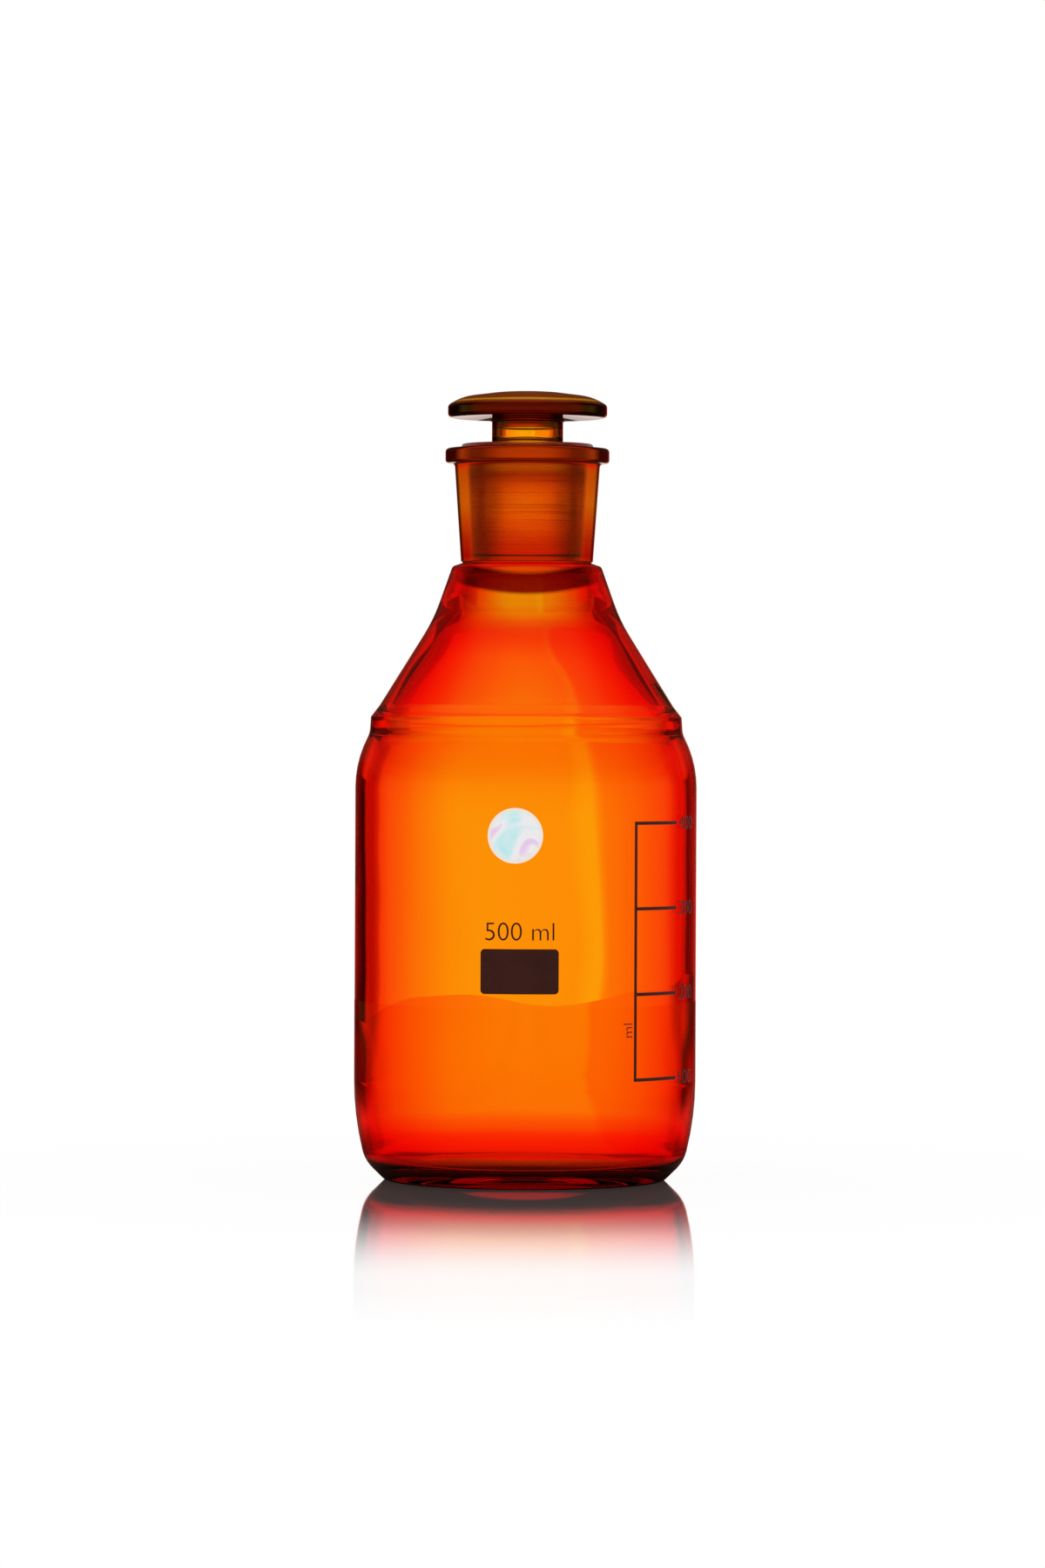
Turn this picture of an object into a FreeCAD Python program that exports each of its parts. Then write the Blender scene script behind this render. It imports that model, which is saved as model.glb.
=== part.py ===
import FreeCAD, Part
import math
import os

# Reagent bottle of amber glass with a ground-in, lift-off stopper.
# Millimetres, +Z up, the bottle stands on Z = 0 with its axis on Z and its printed side facing -Y.

# Body and base
body_diameter = 84.0
body_height = 103.0
wall_thickness = 2.7
shoulder_bend = 29.0
heel_height = 15.8
heel_bend = 72.0
heel_inset = 2.7
heel_foot_height = 4.8
heel_foot_rounding = 9.0
foot_inset = 4.9
foot_rounding = 2.0
foot_width = 9.0
push_up = 2.4
push_up_crown = 12.5
push_up_bend = 60.0
floor_edge_height = 3.85
floor_rise = 2.0
floor_crown = 18.0
floor_bend = 100.0
inner_heel_rounding = 4.5
inner_heel_inset = 2.7
inner_heel_height = 16.2
inner_heel_bend = 69.0

# Shoulder with its moulded ridge
ridge_inset = 3.5
ridge_foot_rise = 6.8
ridge_foot_rounding = 6.0
ridge_draft = 0.25
ridge_height = 4.05
ridge_rounding = 0.8
ledge_width = 2.2
ledge_rise = 2.85
ledge_rounding = 4.0
shoulder_rise = 49.0
shoulder_wall = 3.0
inner_shoulder_drop = 1.25
inner_shoulder_bend = 27.0
inner_ridge_inset = 4.4
inner_ridge_rise = 0.5
inner_ridge_draft = 0.4
inner_ridge_rounding = 5.0
root_flare = 6.75
root_height = 14.3
root_bend = 40.0
collar_width = 2.1
collar_drop = 1.2
collar_rounding = 1.2
groove_depth = 0.5
groove_height = 0.3
groove_rounding = 0.12

# Neck, ground socket and flange
neck_height = 27.8
socket_mouth_diameter = 32.35
joint_taper = 0.1
neck_root_wall = 1.46
neck_top_wall = 1.9
neck_edge_rounding = 0.15
flange_width = 4.0
flange_thickness = 3.7
flange_rounding = 0.9
flange_root_rounding = 1.0
mouth_rounding = 0.3
socket_step = 0.4
socket_step_height = 0.6
throat_drop = 1.4
throat_depth = 3.6
throat_width = 1.4
throat_rounding = 1.5
root_mouth_width = 2.1
root_mouth_bend = 16.0

# Stopper
joint_clearance = 0.05
plug_proud = 1.1
plug_end_gap = 1.0
plug_rounding = 0.5
plug_lip_wall = 3.1
plug_lip_rounding = 0.8
plug_crown_wall = 5.7
plug_crown_depth = 3.4
hollow_bend = 2.5
stem_diameter = 17.5
stem_height = 6.3
stem_wall = 1.65
stem_flare_rise = 1.2
stem_roof_rounding = 0.4
stem_root_rounding = 0.7
stem_roof = 2.2
bead_width = 0.8
bead_height = 0.8
bead_drop = 0.15
bead_rounding = 0.2
head_diameter = 39.2
head_undercut = 1.1
head_edge = 3.2
head_rounding = 1.1
head_shoulder_width = 3.2
head_shoulder_rise = 2.0
head_shoulder_bend = 12.0
head_rise = 3.3
head_crown = 7.0
head_bend = 40.0

# Printed marks and the foil label, as layers on the glass
enamel_thickness = 0.06
label_thickness = 0.08
layer_gap = 0.08
label_diameter = 13.3
label_angle = -3.45
label_drop = 17.6
patch_width = 18.9
patch_height = 10.8
patch_corner = 1.0
patch_angle = -1.9
patch_drop = 32.5
scale_angle = 39.1
scale_step_ml = 100
tick_length = 15.6
line_width = 0.8

# Radii and levels that several pieces share
body_radius = body_diameter / 2
inner_radius = body_radius - wall_thickness
neck_base = body_height + shoulder_rise
rim = neck_base + neck_height
flange_bottom = rim - flange_thickness
label_level = body_height - label_drop
patch_level = label_level - patch_drop


def socket_radius(level):
    """Radius of the ground socket at a level, tapering down from its mouth at the rim."""
    return (socket_mouth_diameter - joint_taper * (rim - level)) / 2


socket_end_radius = socket_radius(neck_base)
root_bore_radius = socket_end_radius - socket_step
neck_root_radius = socket_end_radius + neck_root_wall
heel_radius = body_radius - heel_inset
foot_radius = heel_radius - foot_inset
ridge_radius = body_radius - ridge_inset - ridge_draft
ridge_foot = body_height + ridge_foot_rise
ridge_top = ridge_foot + ridge_height
cone_foot_radius = ridge_radius - ledge_width
cone_foot = ridge_top + ledge_rise
cone_top_radius = neck_root_radius + root_flare
cone_top = neck_base - root_height


def rounded_section(corners):
    """Face in the XZ plane through corners of (radius, level, rounding), each turn an arc."""
    count = len(corners)
    points = [FreeCAD.Vector(radius, 0, level) for radius, level, rounding in corners]
    runs = [points[(i + 1) % count] - points[i] for i in range(count)]
    turns = [runs[i - 1].getAngle(runs[i]) for i in range(count)]
    reach = [corners[i][2] * math.tan(turns[i] / 2) for i in range(count)]
    # Neighbouring arcs that are too large for the run between them share it in proportion
    share = [min(1, runs[i].Length / max(reach[i] + reach[(i + 1) % count], 1e-9)) for i in range(count)]
    reach = [reach[i] * min(share[i - 1], share[i]) for i in range(count)]
    edges = []
    for i in range(count):
        before = FreeCAD.Vector(runs[i - 1]).normalize()
        after = FreeCAD.Vector(runs[i]).normalize()
        start = points[i] - before * reach[i]
        end = points[i] + after * reach[i]
        previous_end = points[i - 1] + before * reach[i - 1]
        if previous_end.distanceToPoint(start) > 1e-5:
            edges.append(Part.makeLine(previous_end, start))
        if reach[i] > 1e-5:
            radius = reach[i] / math.tan(turns[i] / 2)
            depth = radius / math.cos(turns[i] / 2) - radius
            middle = points[i] + (after - before).normalize() * depth
            edges.append(Part.Arc(start, middle, end).toShape())
    return Part.Face(Part.Wire(Part.__sortEdges__(edges)))


def revolved(corners):
    """Solid of revolution about Z from the corners of its half section."""
    return rounded_section(corners).revolve(FreeCAD.Vector(0, 0, 0), FreeCAD.Vector(0, 0, 1), 360)


def outer_corners(growth=0):
    """Outside of the bottle from the foot ring to the rim, optionally grown outwards."""
    neck_top_radius = socket_radius(flange_bottom) + neck_top_wall
    flange_radius = socket_mouth_diameter / 2 + flange_width
    corners = [
        (foot_radius, 0, foot_rounding),
        (heel_radius, heel_foot_height, heel_foot_rounding),
        (body_radius, heel_height, heel_bend),
        (body_radius, body_height, shoulder_bend),
        (ridge_radius + ridge_draft, ridge_foot, ridge_foot_rounding),
        (ridge_radius, ridge_top, ridge_rounding),
        (cone_foot_radius, cone_foot, ledge_rounding),
        (cone_top_radius, cone_top, root_bend),
        (neck_root_radius + collar_width, neck_base - collar_drop, collar_rounding),
        (neck_root_radius - groove_depth, neck_base - groove_height, groove_rounding),
        (neck_root_radius, neck_base, neck_edge_rounding),
        (neck_top_radius, flange_bottom, flange_root_rounding),
        (flange_radius, flange_bottom, flange_rounding),
        (flange_radius, rim, flange_rounding),
    ]
    return [(radius + growth, level, rounding) for radius, level, rounding in corners]


def shoulder_inside(radius):
    """Level at which the inside of the conical shoulder reaches a radius."""
    slope = (cone_top - cone_foot) / (cone_foot_radius - cone_top_radius)
    drop = shoulder_wall * math.hypot(1, slope)
    return cone_foot - drop + slope * (cone_foot_radius - radius)


def floor_corners():
    """Inside of the base, from its crown on the axis out to the heel and up to the straight wall."""
    crown_level = floor_edge_height + floor_rise
    return [
        (0, crown_level, 0),
        (floor_crown, crown_level, floor_bend),
        (inner_radius - inner_heel_inset, floor_edge_height, inner_heel_rounding),
        (inner_radius, inner_heel_height, inner_heel_bend),
    ]


def bottle():
    """Blown body, conical shoulder, flanged neck and ground socket as one hollow piece of glass."""
    inner_ridge_radius = inner_radius - inner_ridge_inset
    inner_cone_foot = inner_ridge_radius - inner_ridge_draft
    root_mouth_radius = root_bore_radius + root_mouth_width
    inside = floor_corners() + [
        (inner_radius, body_height - inner_shoulder_drop, inner_shoulder_bend),
        (inner_ridge_radius, ridge_foot + inner_ridge_rise, inner_ridge_rounding),
        (inner_cone_foot, shoulder_inside(inner_cone_foot), inner_ridge_rounding),
        (root_mouth_radius, shoulder_inside(root_mouth_radius), root_mouth_bend),
        (root_bore_radius + throat_width, neck_base - throat_depth, throat_rounding),
        (root_bore_radius, neck_base - throat_drop, throat_rounding),
        (root_bore_radius, neck_base - socket_step_height, 0),
        (socket_end_radius, neck_base, 0),
        (socket_mouth_diameter / 2, rim, mouth_rounding),
    ]
    under_side = [
        (0, push_up, 0),
        (push_up_crown, push_up, push_up_bend),
        (foot_radius - foot_width, 0, foot_rounding),
    ]
    return revolved(under_side + outer_corners() + inside[::-1])


def stopper():
    """Pressed hollow stopper: ground plug open below, short stem and a flat domed head."""
    plug_end = neck_base + plug_end_gap
    plug_top = rim + plug_proud
    plug_end_radius = socket_radius(plug_end) - joint_clearance
    plug_top_radius = socket_radius(plug_top) - joint_clearance
    stem_radius = stem_diameter / 2
    stem_bore = stem_radius - stem_wall
    crown_level = plug_top - plug_crown_depth
    head_bottom = plug_top + stem_height
    head_radius = head_diameter / 2
    rim_top = head_bottom + head_edge
    bead_top = head_bottom - bead_drop
    hollow = [
        (0, head_bottom - stem_roof, 0),
        (stem_bore, head_bottom - stem_roof, stem_roof_rounding),
        (stem_bore, plug_top + stem_flare_rise, hollow_bend),
        (plug_top_radius - plug_crown_wall, crown_level, hollow_bend),
        (plug_end_radius - plug_lip_wall, plug_end, plug_lip_rounding),
    ]
    outside = [
        (plug_end_radius, plug_end, plug_lip_rounding),
        (plug_top_radius, plug_top, plug_rounding),
        (stem_radius, plug_top, stem_root_rounding),
        (stem_radius, bead_top - bead_height, 0),
        (stem_radius + bead_width, bead_top - bead_height / 2, bead_rounding),
        (stem_radius, bead_top, 0),
        (stem_radius, head_bottom + head_undercut, 0),
        (head_radius, head_bottom, head_rounding),
        (head_radius, rim_top, head_rounding),
        (head_radius - head_shoulder_width, rim_top + head_shoulder_rise, head_shoulder_bend),
        (head_crown, rim_top + head_rise, head_bend),
        (0, rim_top + head_rise, 0),
    ]
    return revolved(hollow + outside)


def facing_front(shape, angle, level):
    """Turns a shape drawn about -Y to an angle, counted from the front towards +X, and lifts it."""
    shape.rotate(FreeCAD.Vector(0, 0, 0), FreeCAD.Vector(0, 0, 1), angle)
    shape.translate(FreeCAD.Vector(0, 0, level))
    return shape


def layer_on_glass(stencil, thickness):
    """The part of a stencil that lies on the outside of the glass, as a layer just clear of it."""
    top = [(0, rim, 0), (0, 0, 0)]
    grown = revolved(outer_corners(layer_gap + thickness) + top)
    glass = revolved(outer_corners(layer_gap) + top)
    return stencil.common(grown).cut(glass)


def round_label():
    """Disc of foil stuck on the front of the body."""
    front = FreeCAD.Vector(0, -1, 0)
    disc = Part.makeCylinder(label_diameter / 2, body_diameter, FreeCAD.Vector(0, 0, 0), front)
    return layer_on_glass(facing_front(disc, label_angle, label_level), label_thickness)


def writing_patch():
    """Rounded rectangle of matt enamel for writing on."""
    chord = body_diameter * math.sin(patch_width / body_diameter)
    corner = FreeCAD.Vector(-chord / 2, -body_diameter, -patch_height / 2)
    block = Part.makeBox(chord, body_diameter, patch_height, corner)
    across = [edge for edge in block.Edges if abs(edge.tangentAt(edge.FirstParameter).y) > 0.99]
    block = block.makeFillet(patch_corner, across)
    return layer_on_glass(facing_front(block, patch_angle, patch_level), enamel_thickness)


def wall_sector(start_angle, end_angle, low, high):
    """Block that crosses the wall between two angles from the front and two levels."""
    near = body_radius / 2
    far = body_radius + wall_thickness
    flat = Part.makePolygon([
        FreeCAD.Vector(0, -near, low),
        FreeCAD.Vector(0, -far, low),
        FreeCAD.Vector(0, -far, high),
        FreeCAD.Vector(0, -near, high),
        FreeCAD.Vector(0, -near, low),
    ])
    axis = FreeCAD.Vector(0, 0, 1)
    sector = Part.Face(flat).revolve(FreeCAD.Vector(0, 0, 0), axis, end_angle - start_angle)
    sector.rotate(FreeCAD.Vector(0, 0, 0), axis, start_angle)
    return sector


def fill_levels():
    """Levels of the filling marks, from the volume of the cavity, as far up as the wall is straight."""
    reference = body_height / 2
    filled = revolved(floor_corners() + [(inner_radius, reference, 0), (0, reference, 0)]).Volume
    area = math.pi * inner_radius ** 2
    spacing = scale_step_ml * 1000 / area
    first = reference - filled / area + spacing
    wall_top = body_height - shoulder_bend / 4
    return [first + i * spacing for i in range(int((wall_top - first) / spacing) + 1)]


def graduation_scale():
    """Upright line with a tick towards the right for each filling mark."""
    levels = fill_levels()
    half = line_width / 2
    half_angle = math.degrees(half / body_radius)
    tick_angle = math.degrees(tick_length / body_radius)
    upright = wall_sector(scale_angle - half_angle, scale_angle + half_angle,
                          levels[0] - half, levels[-1] + half)
    ticks = [wall_sector(scale_angle - half_angle, scale_angle + tick_angle, level - half, level + half)
             for level in levels]
    return layer_on_glass(upright.fuse(ticks).removeSplitter(), enamel_thickness)


pieces = {
    "bottle": bottle(),
    "stopper": stopper(),
    "round_label": round_label(),
    "writing_patch": writing_patch(),
    "graduation_scale": graduation_scale(),
}
os.makedirs("parts", exist_ok=True)
for name, piece in pieces.items():
    piece = Part.Solid(piece.Solids[0]) if len(piece.Solids) == 1 else piece
    piece.exportStep("parts/" + name + ".step")
    box = piece.BoundBox
    print(name, len(piece.Solids), "solid, valid", piece.isValid(), "volume", round(piece.Volume, 1),
          "Z", round(box.ZMin, 2), "to", round(box.ZMax, 2))
print("filling marks at", [round(level, 2) for level in fill_levels()])
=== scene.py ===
import math
import bpy
from mathutils import Matrix, Vector


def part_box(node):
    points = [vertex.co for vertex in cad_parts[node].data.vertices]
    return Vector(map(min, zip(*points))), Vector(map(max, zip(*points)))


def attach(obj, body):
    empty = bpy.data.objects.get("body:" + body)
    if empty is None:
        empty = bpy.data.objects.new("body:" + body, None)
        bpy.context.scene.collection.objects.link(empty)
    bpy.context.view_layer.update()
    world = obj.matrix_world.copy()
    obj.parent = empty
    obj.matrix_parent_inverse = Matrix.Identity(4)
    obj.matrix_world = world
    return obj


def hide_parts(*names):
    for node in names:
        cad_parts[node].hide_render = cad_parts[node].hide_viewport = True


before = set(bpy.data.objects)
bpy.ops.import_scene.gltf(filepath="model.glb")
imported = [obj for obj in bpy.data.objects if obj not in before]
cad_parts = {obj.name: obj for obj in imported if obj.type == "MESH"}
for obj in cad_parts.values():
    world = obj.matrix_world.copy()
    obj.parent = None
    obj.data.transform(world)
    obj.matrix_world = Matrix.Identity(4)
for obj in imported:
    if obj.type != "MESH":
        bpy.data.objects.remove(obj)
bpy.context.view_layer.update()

# Sizes in millimetres, as in the construction; MM turns them into metres
MM = 0.001
TINY = 0.0001
DEGREE = math.radians(1)

# Fineness of the meshes: steps round the axis, along an arc and along a straight run
SEGMENTS = 224
ARC_STEP = 6 * DEGREE
RUN_STEP = 2.5
# A ring of points this close to each end of a straight run keeps its shading straight
GUARD = 0.2

# Body and base
body_radius = 42.0
body_height = 103.0
wall_thickness = 2.7
shoulder_bend = 29.0
heel_radius = 39.3
heel_height = 15.8
heel_bend = 72.0
heel_foot_height = 4.8
heel_foot_rounding = 9.0
foot_radius = 34.4
foot_width = 9.0
foot_rounding = 2.0
push_up = 2.4
push_up_crown = 12.5
push_up_bend = 60.0
floor_edge_height = 3.85
floor_rise = 2.0
floor_crown = 18.0
floor_bend = 100.0
inner_heel_rounding = 4.5
inner_heel_inset = 2.7
inner_heel_height = 16.2
inner_heel_bend = 69.0

# Shoulder
ridge_radius = 38.25
ridge_draft = 0.25
ridge_foot = body_height + 6.8
ridge_foot_rounding = 6.0
ridge_top = ridge_foot + 4.05
ridge_rounding = 0.8
cone_foot_radius = 36.05
cone_foot = ridge_top + 2.85
ledge_rounding = 4.0
shoulder_wall = 3.0
inner_shoulder_drop = 1.25
inner_shoulder_bend = 27.0
inner_ridge_inset = 4.4
inner_ridge_rise = 0.5
inner_ridge_draft = 0.4
inner_ridge_rounding = 5.0
root_flare = 6.75
root_height = 14.3
root_bend = 40.0
collar_width = 2.1
collar_drop = 1.2
collar_rounding = 1.2
groove_depth = 0.5
groove_height = 0.3
groove_rounding = 0.12

# Neck, socket and flange
neck_base = body_height + 49.0
rim = neck_base + 27.8
socket_mouth_radius = 16.175
joint_slope = 0.05
neck_root_wall = 1.46
neck_top_wall = 1.9
neck_edge_rounding = 0.15
flange_radius = 20.175
flange_bottom = rim - 3.7
flange_rounding = 0.9
flange_root_rounding = 1.0
mouth_rounding = 0.3
socket_end_rounding = 0.1
socket_step = 0.4
socket_step_height = 0.6
socket_step_rounding = 0.3
throat_drop = 1.4
throat_depth = 3.6
throat_width = 1.4
throat_rounding = 1.5
root_mouth_width = 2.1
root_mouth_bend = 16.0

# Unevenness of the blown inside: waves round the axis and upwards, stronger in the shoulder
ripple_around = 0.05
ripple_upward = 0.04
ripple_inset = 0.05
ripple_gain = 3.0
ripple_gain_height = 20.0
ripple_end = neck_base - 14.0
ripple_fade = 8.0

# Stopper
joint_clearance = 0.05
plug_top = rim + 1.1
plug_end = neck_base + 1.0
plug_rounding = 0.5
plug_lip_wall = 3.1
plug_lip_rounding = 0.8
plug_crown_wall = 5.7
plug_crown_depth = 3.4
hollow_bend = 2.5
stem_radius = 8.75
stem_wall = 1.65
stem_flare_rise = 1.2
stem_roof_rounding = 0.4
stem_root_rounding = 0.7
head_bottom = plug_top + 6.3
stem_roof = head_bottom - 2.2
bead_width = 0.8
bead_height = 0.8
bead_top = head_bottom - 0.15
bead_rounding = 0.2
bead_root_rounding = 0.15
head_radius = 19.6
head_undercut = 1.1
head_root_rounding = 0.2
head_rounding = 1.1
rim_top = head_bottom + 3.2
head_shoulder_width = 3.2
head_shoulder_rise = 2.0
head_shoulder_bend = 12.0
head_top = rim_top + 3.3
head_crown = 7.0
head_bend = 40.0

# Printed figures; angles in degrees from the front towards +X
print_lift = 0.06
print_depth = 0.08
capacity_height = 4.3
capacity_width = 16.6
capacity_angle = -1.9
capacity_level = 62.5
scale_marks = 4
scale_line_width = 0.8
scale_figure_height = 3.3
scale_figure_width = 8.6
scale_figure_angle = 62.2
scale_unit_height = 2.6
scale_unit_angle = 36.0
scale_unit_rise = 12.0


def socket_radius(level):
    """Radius of the ground socket at a level."""
    return socket_mouth_radius - joint_slope * (rim - level)


socket_end = socket_radius(neck_base)
neck_root = socket_end + neck_root_wall
cone_top_radius = neck_root + root_flare
cone_top = neck_base - root_height


def shoulder_inside(radius):
    """Level at which the inside of the conical shoulder reaches a radius."""
    slope = (cone_top - cone_foot) / (cone_foot_radius - cone_top_radius)
    return cone_foot - shoulder_wall * math.hypot(1, slope) + slope * (cone_foot_radius - radius)


def arc_points(corner, before, after, reach, turn, leg):
    """Points of the arc that rounds a corner; its second half belongs to the next leg."""
    radius = reach / math.tan(turn / 2)
    inward = (after - before).normalized()
    centre = corner + inward * (radius / math.cos(turn / 2))
    count = max(4, math.ceil(turn / ARC_STEP))
    side = 1 if before.x * after.y - before.y * after.x > 0 else -1
    first = corner - before * reach - centre
    points = []
    for k in range(1, count + 1):
        swing = Matrix.Rotation(side * turn * k / count, 2)
        points.append((centre + swing @ first, leg + (2 * k > count)))
    return points


def rounded_path(corners):
    """Pairs of point and leg along corners of (radius, level, rounding), each turn an arc."""
    points = [Vector((radius, level)) for radius, level, rounding in corners]
    last = len(points) - 1
    runs = [points[i + 1] - points[i] for i in range(last)]
    turns = [0] + [runs[i - 1].angle(runs[i]) for i in range(1, last)] + [0]
    reach = [corners[i][2] * math.tan(turns[i] / 2) for i in range(last + 1)]
    share = [min(1, runs[i].length / max(reach[i] + reach[i + 1], TINY)) for i in range(last)]
    reach = [reach[i] * min(share[max(i - 1, 0)], share[min(i, last - 1)]) for i in range(last + 1)]
    path = [(points[0], 0)]
    for i in range(last):
        way = runs[i].normalized()
        start = points[i] + way * reach[i]
        length = runs[i].length - reach[i] - reach[i + 1]
        guard = min(GUARD, length / 4)
        count = max(1, math.ceil((length - 2 * guard) / RUN_STEP))
        stops = [guard + (length - 2 * guard) * k / count for k in range(count + 1)] + [length]
        if length > TINY:
            path += [(start + way * stop, i) for stop in stops]
        if reach[i + 1] > TINY:
            path += arc_points(points[i + 1], way, runs[i + 1].normalized(), reach[i + 1], turns[i + 1], i)
    return path


def add_object(name, data):
    """New object in the scene."""
    thing = bpy.data.objects.new(name, data)
    bpy.context.scene.collection.objects.link(thing)
    return thing


def revolve(name, path, zones, ripple=None):
    """Closed mesh of revolution. zones holds, by attribute, the value of each leg that isn't nought."""
    vertices, faces, rings, legs = [], [], [], []
    for point, leg in path:
        count = 1 if point.x < TINY else SEGMENTS
        rings.append(range(len(vertices), len(vertices) + count))
        for k in range(count):
            angle = 2 * math.pi * k / SEGMENTS
            radius = point.x + (ripple(angle, point.y, leg) if ripple and count > 1 else 0)
            vertices.append((radius * MM * math.sin(angle), -radius * MM * math.cos(angle), point.y * MM))
            legs.append(leg)
    for lower, upper in zip(rings, rings[1:]):
        for k in range(SEGMENTS):
            after = (k + 1) % SEGMENTS
            corners = [lower[k % len(lower)], lower[after % len(lower)],
                       upper[after % len(upper)], upper[k % len(upper)]]
            faces.append(list(dict.fromkeys(corners)))
    mesh = bpy.data.meshes.new(name)
    mesh.from_pydata(vertices, [], faces)
    mesh.update()
    mesh.shade_smooth()
    for key, wanted in zones.items():
        values = mesh.attributes.new(key, "FLOAT", "POINT").data
        values.foreach_set("value", [wanted.get(leg, 0.0) for leg in legs])
    return add_object(name, mesh)


class Nodes:
    """Short way to add nodes to a material's or world's tree and join them."""

    def __init__(self, owner):
        owner.use_nodes = True
        self.tree = owner.node_tree
        self.tree.nodes.clear()

    def add(self, kind, settings=None, **inputs):
        """New node; an input is named by its words, or by an underscore and its number."""
        node = self.tree.nodes.new("ShaderNode" + kind)
        for key, value in (settings or {}).items():
            setattr(node, key, value)
        for key, value in inputs.items():
            socket = node.inputs[int(key[1:]) if key[0] == "_" else key.replace("_", " ")]
            if isinstance(value, bpy.types.NodeSocket):
                self.tree.links.new(value, socket)
            else:
                socket.default_value = value
        return node

    def math(self, operation, first, second=0.0, third=0.0):
        node = self.add("Math", {"operation": operation}, _0=first, _1=second, _2=third)
        return node.outputs[0]

    def mix_colour(self, factor, first, second):
        node = self.add("Mix", {"data_type": "RGBA"}, _0=factor, _6=first, _7=second)
        return node.outputs[2]

    def mix_value(self, factor, first, second):
        node = self.add("Mix", {"data_type": "FLOAT"}, _0=factor, _2=first, _3=second)
        return node.outputs[0]

    def multiply(self, factor, first, second):
        settings = {"data_type": "RGBA", "blend_type": "MULTIPLY"}
        node = self.add("Mix", settings, _0=factor, _6=first, _7=second)
        return node.outputs[2]

    def steps(self, value, low, high, to_low=0.0, to_high=1.0):
        """Smooth change from to_low to to_high, while a value goes from low to high."""
        node = self.add("MapRange", {"interpolation_type": "SMOOTHSTEP"}, _0=value, _1=low, _2=high,
                        _3=to_low, _4=to_high)
        return node.outputs[0]

    def along(self, length, span, to_low=0.0, to_high=1.0):
        """Steps for a length in metres, over a span in millimetres."""
        return self.steps(length, span[0] * MM, span[1] * MM, to_low, to_high)

    def turned(self, angle, span, to_low=0.0, to_high=1.0):
        """Steps for an angle in radians, over a span in degrees."""
        return self.steps(angle, span[0] * DEGREE, span[1] * DEGREE, to_low, to_high)

    def ramp(self, value, stops):
        """Colour by a value from 0 to 1; stops lists (place, colour)."""
        node = self.add("ValToRGB", _0=value)
        points = node.color_ramp.elements
        for place, colour in stops[2:]:
            points.new(place)
        for point, (place, colour) in zip(points, stops):
            point.position = place
            point.color = (*colour, 1)
        return node.outputs[0]

    def tones(self, value, stops, unit):
        """Colour by any value; the places of the stops are in the given unit."""
        low = stops[0][0]
        reach = stops[-1][0] - low
        share = self.add("MapRange", _0=value, _1=low * unit, _2=(low + reach) * unit).outputs[0]
        return self.ramp(share, [((place - low) / reach, colour) for place, colour in stops])


# Zones of the glass: outside, ground faces, and, with painted shade, edges that redden, flange with stem and
# head, neck
ZONES = ("outside", "ground", "grazing", "rimmed", "banded")
CONE_GRAZING = 2.4
COLLAR_GRAZING = 1.2


def raised(base, stops):
    """Stops whose levels are counted from a base level."""
    return [(base + level, *rest) for level, *rest in stops]


# Stain of the outside, whose changes by level carry painted light and shade, from the foot upwards: level,
# shares of red and green let through, clearness
BLUE_SHARE = 0.012
HEEL_STAIN_AND_SHADING = [
    (0, 0.12, 0.03, 1),
    (2.5, 0.35, 0.02, 1),
    (4.5, 0.9, 0.006, 1),
    (9, 1, 0.014, 1),
    (12.5, 1, 0.12, 1),
    (15, 1, 0.38, 1),
    (33, 1, 0.45, 1),
]
# Levels from the end of the straight wall
SHOULDER_STAIN_AND_SHADING = [
    (-14, 1, 0.45, 1),
    (-6, 1, 0.4, 1),
    (0, 1, 0.3, 1),
    (6, 1, 0.29, 0.9),
    (11.3, 1, 0.33, 0.86),
    (14, 1, 0.38, 0.9),
    (17, 1, 0.33, 1),
    (20, 1, 0.3, 1),
    (25, 1, 0.245, 1),
    (28, 1, 0.165, 0.97),
    (30.4, 1, 0.11, 0.93),
]
# Levels from the foot of the neck
NECK_STAIN_AND_SHADING = [
    (-15, 1, 0.1, 0.85),
    (-12.5, 1, 0.35, 0.8),
    (-11, 1, 0.55, 0.8),
    (-8.6, 1, 0.5, 0.8),
    (-7, 1, 0.28, 0.6),
    (-3, 1, 0.13, 0.6),
    (-0.6, 0.8, 0.1, 0.6),
    (1, 0.7, 0.01, 1),
    (5.4, 0.74, 0.1, 1),
    (9.6, 0.93, 0.3, 1),
    (14, 1, 0.62, 1),
    (21.4, 1, 0.45, 1),
    (23.5, 0.95, 0.08, 0.6),
    (28, 0.95, 0.08, 0.6),
]
# Levels from the underside of the head
HEAD_STAIN_AND_SHADING = [
    (-2.6, 1, 0.5, 1),
    (-1.8, 0.5, 0.06, 0.8),
    (-0.3, 0.6, 0.03, 0.55),
    (0.1, 0.35, 0.01, 0.55),
    (0.5, 0.16, 0.003, 0.55),
    (2.8, 0.15, 0.003, 0.55),
    (3.7, 0.3, 0.03, 0.55),
    # Painted light line where the rim of the head turns into its dome
    (3.95, 1, 0.4, 0.55),
    (4.2, 1, 0.4, 0.55),
    (4.4, 0.35, 0.05, 0.55),
    (5.2, 0.38, 0.06, 0.55),
    (5.7, 0.45, 0.1, 0.55),
    (6.2, 0.6, 0.16, 0.55),
    (6.8, 0.7, 0.22, 0.55),
]
BOTTLE_STAIN_AND_SHADING = HEEL_STAIN_AND_SHADING + raised(body_height, SHOULDER_STAIN_AND_SHADING) + raised(neck_base, NECK_STAIN_AND_SHADING)
STOPPER_STAIN_AND_SHADING = [(plug_end, 1, 0.5, 1)] + raised(head_bottom, HEAD_STAIN_AND_SHADING)
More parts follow.
